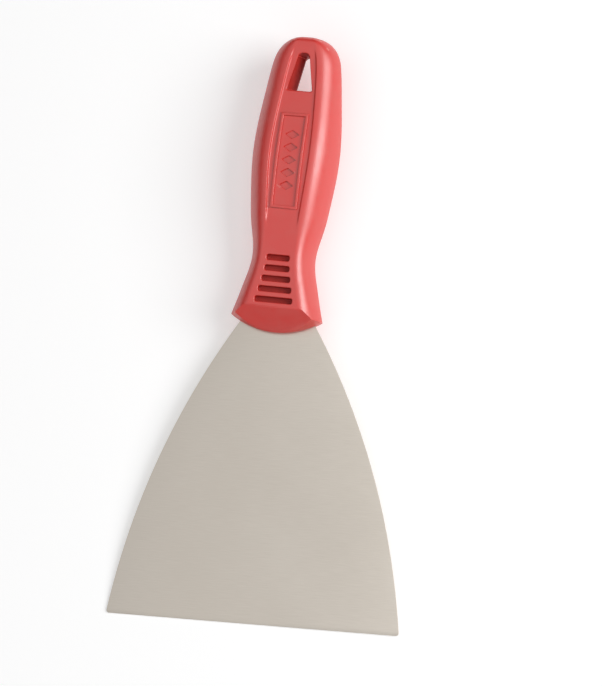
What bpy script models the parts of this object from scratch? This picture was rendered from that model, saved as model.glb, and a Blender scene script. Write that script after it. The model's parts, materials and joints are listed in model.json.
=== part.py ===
"""Flexible putty knife: a thin spring steel blade whose tang is closed between the two moulded halves of its handle.

The tool is modelled in its own axes: X across it, Y from the mouth of the handle (y = 0) towards the hang end,
and Z out of the badge face, with the blade's mid-plane at z = 0. The empty rest_pose then lays it on a surface as
it lies on a bench, on its back, where the blade's edge and the handle's belly touch. Sizes are in metres.
"""

import math

import bmesh
import bpy
from mathutils import Euler, Matrix, Vector

# Handle, seen from the front. A station called _FROM_TOP is measured from the hang end, and _Y from the mouth.
HANDLE_LENGTH = 0.0990
CROWN_HALF_WIDTH = 0.0101
CROWN_LENGTH = 0.0095
SHOULDER_FROM_TOP = 0.0155
SHOULDER_HALF_WIDTH = 0.0127
BELLY_FROM_TOP = 0.0394
BELLY_HALF_WIDTH = 0.0149
THROAT_Y = 0.0380
THROAT_HALF_WIDTH = 0.0131
WAIST_Y = 0.0246
WAIST_HALF_WIDTH = 0.0107
FLARE_Y = 0.0125
FLARE_HALF_WIDTH = 0.0133
MOUTH_CORNER_Y = 0.0041
MOUTH_HALF_WIDTH = 0.0157
MOUTH_DIP = 0.0008

# Handle, seen from the side: the height of each face above the mid-plane.
CROWN_HEIGHT = 0.0062
CROWN_DROP_LENGTH = 0.0022
HANG_HEIGHT = 0.0066
HANG_HEIGHT_FROM_TOP = 0.0095
CREST_HEIGHT = 0.0102
CREST_FROM_TOP = 0.0444
GRIP_HEIGHT = 0.0083
GRIP_HEIGHT_Y = 0.0230
MOUTH_HEIGHT = 0.0080
MOUTH_BEVEL_Y = 0.0075
MOUTH_LIP_HEIGHT = 0.0016
MOUTH_LIP_SLOPE = 2.2

# Handle, in section: the face is flat between its crests, and each flank falls from a crest to the parting plane.
CREST_CROWN_HALF = 0.0041
CREST_SHOULDER_HALF = 0.0063
CREST_BELLY_HALF = 0.0077
CREST_WAIST_HALF = 0.0059
CREST_MOUTH_HALF = 0.0088
FLANK_ROUNDNESS = 1.65
CROWN_ROUNDNESS = 2.6
PARTING_GAP = 0.0003

# Sunken panel on each face, inside the crests.
PANEL_MARGIN = 0.0008
PANEL_WALL_RUN = 0.0004
PANEL_DEPTH = 0.0007
PANEL_FROM_TOP = 0.0045
PANEL_END_Y = 0.0350
PANEL_FADE = 0.0040

# Raised rim round the badge field, on the front panel only.
BADGE_FROM_TOP = 0.0268
BADGE_END_Y = 0.0400
BADGE_HALF_WIDTH = 0.00465
BADGE_RIM_WIDTH = 0.0009
BADGE_RIM_HEIGHT = 0.0006
BADGE_RIM_DRAFT = 0.0002

# Hang hole: a rounded wedge, wider towards the mouth, whose sides flare from the parting plane out to each face.
HOLE_FROM_TOP = 0.0061
HOLE_LENGTH = 0.0129
HOLE_TOP_WIDTH = 0.0020
HOLE_BOTTOM_WIDTH = 0.0061
HOLE_FLARE = 0.24
HOLE_CORNER_RADIUS = 0.0009
HOLE_TOP_ROUNDNESS = 0.8

# Grip slots, cut blind into each face near the mouth.
SLOT_COUNT = 5
SLOT_FIRST_Y = 0.0094
SLOT_PITCH = 0.00353
SLOT_WIDTH = 0.0019
SLOT_DEPTH = 0.0024
SLOT_SIDE_MARGIN = 0.0020
SLOT_CORNER_RADIUS = 0.0006

# Hollow inside each half, from the hang end's peg to the solid grip, split by cross ribs.
WALL = 0.0022
RIB_COUNT = 2
RIB_WIDTH = 0.0016
POCKET_END_Y = 0.0330

# Blade and tang. The blade sits a little askew and off centre in the handle.
BLADE_LENGTH = 0.0981
BLADE_WIDTH = 0.1004
BLADE_THICKNESS = 0.0006
BLADE_SIDE_BOW = 0.0058
BLADE_CORNER_RADIUS = 0.0010
BLADE_SKEW_DEG = 1.9
BLADE_OFFSET = 0.0006
EDGE_THICKNESS = 0.0003
EDGE_GRIND = 0.0012
NECK_WIDTH = 0.0263
NECK_Y = 0.0020
TANG_SHOULDER_Y = 0.0125
TANG_WIDTH = 0.0120
TANG_LENGTH = 0.0380
TANG_CORNER_RADIUS = 0.0020
TANG_CLEARANCE = 0.0004
SEAT_CLEARANCE = 0.0003

# Pegs of the front half, which fit sockets in the back half. Two pass through the tang, and one is by the hang hole.
PEG_RADIUS = 0.0016
PEG_DEPTH = 0.0030
PEG_CLEARANCE = 0.0003
TANG_PEG_Y = (0.0115, 0.0285)
HANG_PEG_WALL = 0.0018

# How finely the shapes are drawn.
STATION_STEP = 0.0030
FLANK_STEPS = 6
ARC_STEPS = 20
CORNER_STEPS = 4
OVERRUN = 0.0040
MODEL_REACH = 0.0400

PLASTIC_RED = (0.62, 0.085, 0.07, 1.0)
PLASTIC_RED_BACK = (0.56, 0.075, 0.06, 1.0)
STEEL = (0.53, 0.48, 0.42, 1.0)


# ---- Curves that the sizes draw -------------------------------------------------------------------------------

def smooth_curve(stations, at):
    """Value at a position on the curve through (position, value) stations, which never overshoots a station."""
    places = [place for place, _ in stations]
    values = [value for _, value in stations]
    slopes = station_slopes(places, values)
    if at <= places[0]:
        return values[0] + slopes[0] * (at - places[0])
    for i in range(len(places) - 1):
        if at <= places[i + 1]:
            step = places[i + 1] - places[i]
            s = (at - places[i]) / step
            rise = (3.0 - 2.0 * s) * s * s
            start = slopes[i] * step * s * (1.0 - s) ** 2
            end = slopes[i + 1] * step * s * s * (s - 1.0)
            return values[i] + (values[i + 1] - values[i]) * rise + start + end
    return values[-1] + slopes[-1] * (at - places[-1])


def station_slopes(places, values):
    """Slope at each station: the harmonic mean of its two sides, or flat at a crest or a hollow."""
    sides = [(values[i + 1] - values[i]) / (places[i + 1] - places[i]) for i in range(len(places) - 1)]
    slopes = [sides[0]]
    for before, after in zip(sides, sides[1:]):
        slopes.append(2.0 * before * after / (before + after) if before * after > 0.0 else 0.0)
    slopes.append(sides[-1])
    return slopes


def round_over(at, length):
    """Share of full size at a distance from an end that rounds over a length."""
    left = max(0.0, 1.0 - at / length)
    return (1.0 - left ** CROWN_ROUNDNESS) ** (1.0 / CROWN_ROUNDNESS)


def fade(at, start, length):
    """0 before start, rising smoothly to 1 over a length."""
    s = min(1.0, max(0.0, (at - start) / length))
    return s * s * (3.0 - 2.0 * s)


def half_width(from_top):
    """Half the handle's width, with the hang end rounded."""
    stations = (
        (0.0, CROWN_HALF_WIDTH),
        (SHOULDER_FROM_TOP, SHOULDER_HALF_WIDTH),
        (BELLY_FROM_TOP, BELLY_HALF_WIDTH),
        (HANDLE_LENGTH - THROAT_Y, THROAT_HALF_WIDTH),
        (HANDLE_LENGTH - WAIST_Y, WAIST_HALF_WIDTH),
        (HANDLE_LENGTH - FLARE_Y, FLARE_HALF_WIDTH),
        (HANDLE_LENGTH - MOUTH_CORNER_Y, MOUTH_HALF_WIDTH),
    )
    return smooth_curve(stations, from_top) * round_over(from_top, CROWN_LENGTH)


def face_height(from_top):
    """Height of the flat face above the mid-plane, before the bevel at the mouth."""
    stations = (
        (0.0, CROWN_HEIGHT),
        (HANG_HEIGHT_FROM_TOP, HANG_HEIGHT),
        (CREST_FROM_TOP, CREST_HEIGHT),
        (HANDLE_LENGTH - GRIP_HEIGHT_Y, GRIP_HEIGHT),
        (HANDLE_LENGTH - MOUTH_BEVEL_Y, MOUTH_HEIGHT),
    )
    return smooth_curve(stations, from_top) * round_over(from_top, CROWN_DROP_LENGTH)


def crest_half(from_top):
    """Half the distance between the two crests."""
    stations = (
        (0.0, CREST_CROWN_HALF),
        (SHOULDER_FROM_TOP, CREST_SHOULDER_HALF),
        (BELLY_FROM_TOP, CREST_BELLY_HALF),
        (HANDLE_LENGTH - WAIST_Y, CREST_WAIST_HALF),
        (HANDLE_LENGTH - MOUTH_BEVEL_Y, CREST_MOUTH_HALF),
    )
    return smooth_curve(stations, from_top) * round_over(from_top, CROWN_LENGTH)


def panel_depth(from_top):
    """Depth of the sunken panel, which fades out at both ends."""
    end = HANDLE_LENGTH - PANEL_END_Y
    return PANEL_DEPTH * fade(from_top, PANEL_FROM_TOP, PANEL_FADE) * fade(-from_top, -end, PANEL_FADE)


def mouth_arc(x):
    """The y of the handle's end at x: an arc through the two mouth corners, whose middle dips past y = 0."""
    rise = MOUTH_CORNER_Y + MOUTH_DIP
    radius = (MOUTH_HALF_WIDTH ** 2 + rise ** 2) / (2.0 * rise)
    inside = min(abs(x), MOUTH_HALF_WIDTH)
    return radius - math.sqrt(radius ** 2 - inside ** 2) - MOUTH_DIP


# ---- Meshes ---------------------------------------------------------------------------------------------------

def new_object(name, bm):
    """Object that holds the mesh, with its faces turned outwards."""
    bmesh.ops.recalc_face_normals(bm, faces=bm.faces)
    mesh = bpy.data.meshes.new(name)
    bm.to_mesh(mesh)
    bm.free()
    obj = bpy.data.objects.new(name, mesh)
    bpy.context.scene.collection.objects.link(obj)
    return obj


def lofted(name, loops):
    """Solid bridged through closed loops of equally many points, with both ends filled."""
    bm = bmesh.new()
    rings = []
    for loop in loops:
        verts = [bm.verts.new(point) for point in loop]
        rings.append([bm.edges.new(pair) for pair in zip(verts, verts[1:] + verts[:1])])
    for before, after in zip(rings, rings[1:]):
        bmesh.ops.bridge_loops(bm, edges=before + after)
    for ring in (rings[0], rings[-1]):
        bmesh.ops.contextual_create(bm, geom=ring)
    return new_object(name, bm)


def prism(name, outline, low, high):
    """Outline in the XY plane, extruded from low to high."""
    bm = bmesh.new()
    face = bm.faces.new([bm.verts.new((x, y, low)) for x, y in outline])
    raised = bmesh.ops.extrude_face_region(bm, geom=[face])["geom"]
    verts = [item for item in raised if isinstance(item, bmesh.types.BMVert)]
    bmesh.ops.translate(bm, verts=verts, vec=(0.0, 0.0, high - low))
    return new_object(name, bm)


def peg(name, x, y, radius, low, high):
    """Upright cylinder from low to high."""
    bm = bmesh.new()
    place = Matrix.Translation((x, y, (low + high) / 2.0))
    bmesh.ops.create_cone(
        bm,
        cap_ends=True,
        segments=ARC_STEPS,
        radius1=radius,
        radius2=radius,
        depth=high - low,
        matrix=place,
    )
    return new_object(name, bm)


def rounded(corners, radii):
    """Outline with each corner of a convex or concave polygon replaced by an arc of its radius."""
    outline = []
    count = len(corners)
    for i, radius in enumerate(radii):
        corner = Vector(corners[i])
        if radius == 0.0:
            outline.append(tuple(corner))
            continue
        before = (Vector(corners[i - 1]) - corner).normalized()
        after = (Vector(corners[(i + 1) % count]) - corner).normalized()
        half = before.angle(after) / 2.0
        middle = corner + (before + after).normalized() * (radius / math.sin(half))
        start = corner + before * (radius / math.tan(half)) - middle
        end = corner + after * (radius / math.tan(half)) - middle
        turn = start.angle_signed(end)
        for k in range(CORNER_STEPS + 1):
            outline.append(tuple(middle + Matrix.Rotation(-turn * k / CORNER_STEPS, 2) @ start))
    return outline


def boolean(obj, cutter, operation="DIFFERENCE"):
    """Boolean modifier whose cutter stays in the file as a hidden wire shape."""
    modifier = obj.modifiers.new(cutter.name, "BOOLEAN")
    modifier.object = cutter
    modifier.operation = operation
    modifier.solver = "EXACT"
    cutter.hide_render = True
    cutter.display_type = "WIRE"


# ---- Handle halves --------------------------------------------------------------------------------------------

def station_list():
    """Distances from the hang end at which the handle is sectioned, closer together where its shape turns."""
    steps = 6
    crown = [CROWN_LENGTH * (1.0 - math.cos(math.pi / 2.0 * (k + 0.5) / steps)) for k in range(steps)]
    count = round((HANDLE_LENGTH + OVERRUN - CROWN_LENGTH) / STATION_STEP)
    even = [CROWN_LENGTH + (HANDLE_LENGTH + OVERRUN - CROWN_LENGTH) * k / count for k in range(count + 1)]
    badge_end = HANDLE_LENGTH - BADGE_END_Y
    steep = []
    for outer, inwards in ((BADGE_FROM_TOP, 1.0), (badge_end, -1.0)):
        for offset in (0.0, BADGE_RIM_DRAFT, BADGE_RIM_WIDTH - BADGE_RIM_DRAFT, BADGE_RIM_WIDTH):
            steep.append(outer + inwards * offset)
    near = min(STATION_STEP, BADGE_RIM_WIDTH) / 2.0
    kept = [at for at in crown + even if all(abs(at - rim) > near for rim in steep)]
    return sorted(kept + steep)


def badge_rim(from_top, x, badged):
    """Height of the badge's rim above the panel at one point of a section."""
    if not badged:
        return 0.0
    end = HANDLE_LENGTH - BADGE_END_Y
    inwards = min(from_top - BADGE_FROM_TOP, end - from_top, BADGE_HALF_WIDTH - abs(x))
    if inwards <= 0.0:
        return 0.0
    rise = min(1.0, inwards / BADGE_RIM_DRAFT)
    fall = min(1.0, max(0.0, (BADGE_RIM_WIDTH - inwards) / BADGE_RIM_DRAFT))
    return BADGE_RIM_HEIGHT * min(rise, fall)


def section(from_top, badged):
    """Upper outline of a section, from its middle to its right flank, as (x, z) points."""
    wide, crest, high = half_width(from_top), crest_half(from_top), face_height(from_top)
    floor = high - panel_depth(from_top)
    wall = max(crest - PANEL_MARGIN, crest * 0.8)
    foot = max(wall - PANEL_WALL_RUN, wall * 0.8)
    columns = [0.0]
    for inwards in (BADGE_RIM_WIDTH, BADGE_RIM_WIDTH - BADGE_RIM_DRAFT, BADGE_RIM_DRAFT, 0.0):
        columns.append(min(BADGE_HALF_WIDTH - inwards, foot * (0.98 - 0.1 * inwards / BADGE_RIM_WIDTH)))
    points = [(x, floor + badge_rim(from_top, x, badged)) for x in columns]
    points += [(foot, floor), (wall, high), (crest, high)]
    for k in range(1, FLANK_STEPS + 1):
        u = math.sin(math.pi / 2.0 * k / FLANK_STEPS)
        z = high * max(0.0, 1.0 - u ** FLANK_ROUNDNESS) ** (1.0 / FLANK_ROUNDNESS)
        points.append((crest + (wide - crest) * u, max(z, PARTING_GAP / 2.0)))
    points[-1] = (wide, PARTING_GAP / 2.0)
    return points


def handle_half(name, side, badged):
    """One half of the handle before it is cut, with side 1 for the front and -1 for the back."""
    loops = []
    for from_top in station_list():
        right = section(from_top, badged)
        y = HANDLE_LENGTH - from_top
        left = [(-x, z) for x, z in reversed(right[1:])]
        loops.append([(x, y, side * z) for x, z in left + right])
    return lofted(name, loops)


def mouth_trimmer():
    """Block beyond the arc where the handle ends."""
    reach = MODEL_REACH / 2.0
    arc = [MOUTH_HALF_WIDTH * (2.0 * k / ARC_STEPS - 1.0) for k in range(ARC_STEPS + 1)]
    outline = [(x, mouth_arc(x)) for x in [-reach] + arc + [reach]]
    outline += [(reach, -2.0 * OVERRUN), (-reach, -2.0 * OVERRUN)]
    return prism("cut_mouth_arc", outline, -reach, reach)


def mouth_bevel(side):
    """Wedge that bevels one face flat, down to the thin lip in the middle of the mouth."""
    reach = MODEL_REACH / 2.0
    slope = (MOUTH_HEIGHT - MOUTH_LIP_HEIGHT) / (MOUTH_BEVEL_Y + MOUTH_DIP)
    ends = (-2.0 * OVERRUN, 2.0 * MOUTH_BEVEL_Y)
    profile = [(y, MOUTH_LIP_HEIGHT + slope * (y + MOUTH_DIP)) for y in ends]
    profile += [(ends[1], MODEL_REACH), (ends[0], MODEL_REACH)]
    loops = [[(x, y, side * z) for y, z in profile] for x in (-reach, reach)]
    return lofted("cut_mouth_bevel_" + side_name(side), loops)


def mouth_lip(side):
    """Steeper wedge that follows the mouth's arc, so that the lip is as thin at its corners as in its middle."""
    reach = MODEL_REACH / 2.0
    ends = (-2.0 * OVERRUN, MOUTH_BEVEL_Y)
    profile = [(y, MOUTH_LIP_HEIGHT + MOUTH_LIP_SLOPE * y) for y in ends]
    profile += [(ends[1], MODEL_REACH), (ends[0], MODEL_REACH)]
    across = [MOUTH_HALF_WIDTH * (2.0 * k / ARC_STEPS - 1.0) for k in range(ARC_STEPS + 1)]
    loops = [[(x, y + mouth_arc(x), side * z) for y, z in profile] for x in [-reach] + across + [reach]]
    return lofted("cut_mouth_lip_" + side_name(side), loops)


def side_name(side):
    """Word for the side of the parting plane."""
    return "front" if side > 0 else "back"


def hang_hole():
    """Wedge-shaped hole right through both halves, narrowest at the parting plane."""
    top = HANDLE_LENGTH - HOLE_FROM_TOP
    bottom = top - HOLE_LENGTH
    loops = []
    for z in (-MODEL_REACH / 2.0, 0.0, MODEL_REACH / 2.0):
        wide, narrow = (width / 2.0 + HOLE_FLARE * abs(z) for width in (HOLE_BOTTOM_WIDTH, HOLE_TOP_WIDTH))
        corners = [(-wide, bottom), (wide, bottom), (narrow, top), (-narrow, top)]
        radii = [HOLE_CORNER_RADIUS] * 2 + [narrow * HOLE_TOP_ROUNDNESS] * 2
        loops.append([(x, y, z) for x, y in rounded(corners, radii)])
    return lofted("cut_hang_hole", loops)


def grip_slot(index, side):
    """One blind slot, as long as the crests leave room for."""
    y = SLOT_FIRST_Y + SLOT_PITCH * index
    from_top = HANDLE_LENGTH - y
    half = crest_half(from_top) - SLOT_SIDE_MARGIN
    low, high = y - SLOT_WIDTH / 2.0, y + SLOT_WIDTH / 2.0
    outline = rounded([(-half, low), (half, low), (half, high), (-half, high)], [SLOT_CORNER_RADIUS] * 4)
    floor = face_height(from_top) - SLOT_DEPTH
    span = sorted((side * floor, side * MODEL_REACH / 2.0))
    return prism(f"cut_slot_{side_name(side)}_{index + 1}", outline, *span)


def pocket(index, side):
    """One hollow between two cross ribs, a wall's thickness inside the outer shape."""
    start = hang_peg_from_top() + PEG_RADIUS + PEG_CLEARANCE + HANG_PEG_WALL
    end = HANDLE_LENGTH - POCKET_END_Y
    length = (end - start - RIB_COUNT * RIB_WIDTH) / (RIB_COUNT + 1)
    start += index * (length + RIB_WIDTH)
    steps = 4
    loops = []
    for k in range(steps + 1):
        from_top = start + length * k / steps
        wide = half_width(from_top) - WALL
        crest = crest_half(from_top) - WALL / 2.0
        high = face_height(from_top) - PANEL_DEPTH - WALL
        right = [(crest, high)]
        for j in range(1, 4):
            u = j / 3.0
            right.append((crest + (wide - crest) * u, high * (1.0 - u ** 2) ** 0.5))
        right[-1] = (wide, -PARTING_GAP)
        profile = [(-x, z) for x, z in reversed(right)] + right
        loops.append([(x, HANDLE_LENGTH - from_top, side * z) for x, z in profile])
    return lofted(f"cut_pocket_{side_name(side)}_{index + 1}", loops)


# ---- Blade ----------------------------------------------------------------------------------------------------

def blade_side(grow):
    """Right side of the blade from its edge corner up to its neck, bowed outwards along an arc."""
    low = Vector((BLADE_WIDTH / 2.0 + grow, -BLADE_LENGTH))
    top = Vector((NECK_WIDTH / 2.0 + grow, NECK_Y))
    chord = top - low
    outwards = Vector((chord.y, -chord.x)).normalized()
    points = []
    for k in range(ARC_STEPS + 1):
        s = k / ARC_STEPS
        points.append(low + chord * s + outwards * (4.0 * BLADE_SIDE_BOW * s * (1.0 - s)))
    return [tuple(point) for point in points]


def blade_outline(grow):
    """Whole outline of blade and tang, enlarged by grow, from the left edge corner round."""
    side = blade_side(grow)
    tang_half = TANG_WIDTH / 2.0 + grow
    tang_end = TANG_LENGTH + grow
    right = side[1:] + [(tang_half, TANG_SHOULDER_Y + grow), (tang_half, tang_end)]
    corners = [(-side[0][0], side[0][1]), side[0]] + right + [(-x, y) for x, y in reversed(right)]
    count = len(right)
    radii = [BLADE_CORNER_RADIUS] * 2 + [0.0] * (count - 1) + [TANG_CORNER_RADIUS] * 2 + [0.0] * (count - 1)
    return rounded(corners, radii)


def grind_edge(blade):
    """Thins the last stretch of the blade to its working edge."""
    bm = bmesh.new()
    bm.from_mesh(blade.data)
    for y in (-BLADE_LENGTH + EDGE_GRIND, -OVERRUN / 4.0):
        geom = bm.verts[:] + bm.edges[:] + bm.faces[:]
        bmesh.ops.bisect_plane(bm, geom=geom, plane_co=(0.0, y, 0.0), plane_no=(0.0, 1.0, 0.0))
    for vert in bm.verts:
        ground = -BLADE_LENGTH + EDGE_GRIND - vert.co.y
        if ground > 0.0:
            full, thin = BLADE_THICKNESS / 2.0, EDGE_THICKNESS / 2.0
            vert.co.z = math.copysign(full + (thin - full) * ground / EDGE_GRIND, vert.co.z)
    bm.to_mesh(blade.data)
    bm.free()


def place_blade(obj):
    """Sets a piece of the blade, or what is cut to fit it, askew and off centre in the handle."""
    obj.location = (BLADE_OFFSET, 0.0, 0.0)
    obj.rotation_euler = Euler((0.0, 0.0, math.radians(BLADE_SKEW_DEG)))


def tang_peg_places():
    """(x, y) of each peg that passes through the tang, on the tang's own skewed middle line."""
    turn = Matrix.Rotation(math.radians(BLADE_SKEW_DEG), 2)
    return [tuple(turn @ Vector((0.0, y)) + Vector((BLADE_OFFSET, 0.0))) for y in TANG_PEG_Y]


def hang_peg_from_top():
    """Distance from the hang end to the peg that stands a wall's thickness past the hang hole."""
    return HOLE_FROM_TOP + HOLE_LENGTH + HANG_PEG_WALL + PEG_CLEARANCE + PEG_RADIUS


def peg_places():
    """(x, y) of every peg."""
    return tang_peg_places() + [(0.0, HANDLE_LENGTH - hang_peg_from_top())]


def make_blade():
    """Steel blade with its tang, drilled for the pegs."""
    half = BLADE_THICKNESS / 2.0
    blade = prism("blade", blade_outline(0.0), -half, half)
    grind_edge(blade)
    place_blade(blade)
    for i, (x, y) in enumerate(tang_peg_places()):
        radius = PEG_RADIUS + PEG_CLEARANCE
        boolean(blade, peg(f"cut_tang_hole_{i + 1}", x, y, radius, -OVERRUN, OVERRUN))
    return blade


# ---- Assembly -------------------------------------------------------------------------------------------------

def cut_half(half, side, shared):
    """Everything that is cut from one half: the shared cutters, then its own bevels, slots and pockets."""
    for cutter in shared:
        boolean(half, cutter)
    boolean(half, mouth_bevel(side))
    boolean(half, mouth_lip(side))
    for index in range(SLOT_COUNT):
        boolean(half, grip_slot(index, side))
    for index in range(RIB_COUNT + 1):
        boolean(half, pocket(index, side))


def make_handle():
    """Both halves: the front carries the badge rim and the pegs, the back carries the sockets."""
    front = handle_half("handle_front", 1.0, True)
    back = handle_half("handle_back", -1.0, False)
    seat_height = BLADE_THICKNESS / 2.0 + SEAT_CLEARANCE
    seat = prism("cut_tang_seat", blade_outline(TANG_CLEARANCE), -seat_height, seat_height)
    place_blade(seat)
    shared = [mouth_trimmer(), hang_hole(), seat]
    cut_half(front, 1.0, shared)
    cut_half(back, -1.0, shared)
    for i, (x, y) in enumerate(peg_places()):
        boolean(front, peg(f"add_peg_{i + 1}", x, y, PEG_RADIUS, -PEG_DEPTH, PEG_DEPTH), "UNION")
        socket_depth = -PEG_DEPTH - PEG_CLEARANCE
        boolean(back, peg(f"cut_socket_{i + 1}", x, y, PEG_RADIUS + PEG_CLEARANCE, socket_depth, OVERRUN))
    return front, back


def finish(obj, name, color, roughness, metallic):
    """Principled material of one piece, and smooth shading between its real edges."""
    material = bpy.data.materials.new(name)
    material.use_nodes = True
    shader = material.node_tree.nodes["Principled BSDF"]
    shader.inputs["Base Color"].default_value = color
    shader.inputs["Roughness"].default_value = roughness
    shader.inputs["Metallic"].default_value = metallic
    obj.data.materials.append(material)
    obj.data.shade_smooth()
    obj.data.set_sharp_from_angle(angle=math.radians(25.0))


def world_points(obj):
    """Points of the object as its modifiers leave it, in the tool's own axes."""
    evaluated = obj.evaluated_get(bpy.context.evaluated_depsgraph_get())
    mesh = evaluated.to_mesh()
    points = [evaluated.matrix_world @ vert.co for vert in mesh.vertices]
    evaluated.to_mesh_clear()
    return points


def resting_tilt(handle_points, blade_points):
    """Turn about X at which the handle's back and the blade's edge are equally low."""
    flat, steep = 0.0, math.radians(20.0)
    for _ in range(60):
        tilt = (flat + steep) / 2.0
        sine, cosine = math.sin(tilt), math.cos(tilt)
        handle_low = min(p.y * sine + p.z * cosine for p in handle_points)
        blade_low = min(p.y * sine + p.z * cosine for p in blade_points)
        if handle_low < blade_low:
            flat = tilt
        else:
            steep = tilt
    return (flat + steep) / 2.0


def lay_down(pieces):
    """Parents everything to rest_pose, which lays the tool down with the origin under its box's middle."""
    bpy.context.view_layer.update()
    clouds = {piece.name: world_points(piece) for piece in pieces}
    tilt = resting_tilt(clouds["handle_back"], clouds["blade"])
    turn = Matrix.Rotation(tilt, 3, "X")
    turned = [turn @ point for cloud in clouds.values() for point in cloud]
    low = [min(point[axis] for point in turned) for axis in range(3)]
    high = [max(point[axis] for point in turned) for axis in range(3)]
    rest = bpy.data.objects.new("rest_pose", None)
    bpy.context.scene.collection.objects.link(rest)
    rest.rotation_euler = (tilt, 0.0, 0.0)
    rest.location = (-(low[0] + high[0]) / 2.0, -(low[1] + high[1]) / 2.0, -low[2])
    for obj in list(bpy.context.scene.objects):
        if obj is not rest:
            obj.parent = rest


def main():
    """Builds the knife in an empty scene."""
    for obj in list(bpy.data.objects):
        bpy.data.objects.remove(obj, do_unlink=True)
    front, back = make_handle()
    blade = make_blade()
    finish(front, "red_plastic_front", PLASTIC_RED, 0.42, 0.0)
    finish(back, "red_plastic_back", PLASTIC_RED_BACK, 0.42, 0.0)
    finish(blade, "spring_steel", STEEL, 0.38, 1.0)
    lay_down((front, back, blade))


main()
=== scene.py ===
"""Flexible putty knife: finished surfaces, materials and a plain studio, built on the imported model.

Everything is modelled in the tool's own axes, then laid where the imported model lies: X runs across the
tool, Y from the mouth of the handle towards the hang end, Z out of the badge face, and the blade's
mid-plane is z = 0. Lengths are in metres and angles in degrees.
"""

import json
import logging
import math
from collections.abc import Callable, Iterator, Sequence
from contextlib import contextmanager
from dataclasses import dataclass
from enum import Enum

import bmesh
import bpy
from mathutils import Matrix, Vector


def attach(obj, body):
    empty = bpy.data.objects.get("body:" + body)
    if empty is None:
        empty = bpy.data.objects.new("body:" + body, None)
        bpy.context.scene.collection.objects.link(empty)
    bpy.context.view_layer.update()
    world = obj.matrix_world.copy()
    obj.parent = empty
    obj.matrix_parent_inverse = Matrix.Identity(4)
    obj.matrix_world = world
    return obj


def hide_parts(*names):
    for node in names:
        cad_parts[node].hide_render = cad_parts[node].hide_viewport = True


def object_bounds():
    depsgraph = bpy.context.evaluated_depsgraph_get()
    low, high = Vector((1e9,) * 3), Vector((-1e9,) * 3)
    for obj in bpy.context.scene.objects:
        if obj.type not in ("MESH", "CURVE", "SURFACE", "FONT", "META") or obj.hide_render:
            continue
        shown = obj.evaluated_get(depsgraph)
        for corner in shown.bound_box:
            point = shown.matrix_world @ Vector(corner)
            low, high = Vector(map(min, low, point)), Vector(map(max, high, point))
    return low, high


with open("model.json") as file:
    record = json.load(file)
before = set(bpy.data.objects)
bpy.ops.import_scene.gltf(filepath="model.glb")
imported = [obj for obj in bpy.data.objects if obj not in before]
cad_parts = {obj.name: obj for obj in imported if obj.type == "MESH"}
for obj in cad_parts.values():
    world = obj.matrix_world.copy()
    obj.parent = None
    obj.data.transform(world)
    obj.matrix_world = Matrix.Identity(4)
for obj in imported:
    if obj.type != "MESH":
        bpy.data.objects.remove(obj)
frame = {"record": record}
CAD_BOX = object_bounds()
BODY = "root"

HAIR = 1e-6
"""Distance within which two places are one."""
NEAR = 1e-5
"""Distance within which an edge or a face lies at a place."""
ROW_DIGITS = 6
"""Decimals to which the points of one row share their place."""
SMOOTH_UNDER = 32.0
"""Widest angle between two faces that are shaded as one."""

Piece = bpy.types.Object
Part = bmesh.types.BMVert | bmesh.types.BMEdge | bmesh.types.BMFace
Socket = bpy.types.NodeSocket
Colour = tuple[float, float, float, float]
WHITE: Colour = (1.0, 1.0, 1.0, 1.0)

log = logging.getLogger("putty_knife")


class Face(Enum):
    """Side of the tool, with the direction in which that side's surface rises from the blade."""

    FRONT = 1.0
    BACK = -1.0

    @property
    def word(self) -> str:
        """Lower-case name for objects and log lines."""
        return self.name.lower()


class Picks(Enum):
    """What an edit-mode selection is made of."""

    POINTS = "VERT"
    EDGES = "EDGE"
    FACES = "FACE"


# ---- Work at the bench ----


def take(obj: Piece) -> None:
    """Leaves obj as the only selected and active object.

    Args:
        obj: The object to work on.
    """
    if bpy.context.mode != "OBJECT":
        bpy.ops.object.mode_set(mode="OBJECT")
    bpy.ops.object.select_all(action="DESELECT")
    obj.select_set(True)
    bpy.context.view_layer.objects.active = obj


def fresh(name: str) -> Piece:
    """Names the primitive that was just added.

    Args:
        name: The object's new name.

    Returns:
        The active object.
    """
    obj = bpy.context.object
    obj.name = obj.data.name = name
    return obj


@contextmanager
def editing(obj: Piece, picks: Picks = Picks.POINTS) -> Iterator[None]:
    """Edit mode on one object, with everything in it deselected.

    Args:
        obj: The mesh object to edit.
        picks: The kind of element that is selected.
    """
    take(obj)
    bpy.ops.object.mode_set(mode="EDIT")
    bpy.ops.mesh.select_mode(type=picks.value)
    bpy.ops.mesh.select_all(action="DESELECT")
    yield
    bpy.ops.object.mode_set(mode="OBJECT")


def middle(part: Part) -> Vector:
    """Middle of a point, edge or face.

    Args:
        part: The element of the edited mesh.

    Returns:
        Its middle.
    """
    if isinstance(part, bmesh.types.BMVert):
        return part.co
    if isinstance(part, bmesh.types.BMEdge):
        return (part.verts[0].co + part.verts[1].co) / 2.0
    return part.calc_center_median()


def pick(obj: Piece, picks: Picks, test: Callable[[Part], bool]) -> None:
    """Selects the points, edges or faces that pass a test, and only those.

    Args:
        obj: The object in edit mode.
        picks: The kind of element.
        test: Says whether an element is wanted.
    """
    bpy.ops.mesh.select_mode(type=picks.value)
    bpy.ops.mesh.select_all(action="DESELECT")
    bm = bmesh.from_edit_mesh(obj.data)
    parts = {Picks.POINTS: bm.verts, Picks.EDGES: bm.edges, Picks.FACES: bm.faces}[picks]
    for part in parts:
        if test(part):
            part.select_set(True)
    bm.select_flush_mode()
    bmesh.update_edit_mesh(obj.data)


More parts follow.
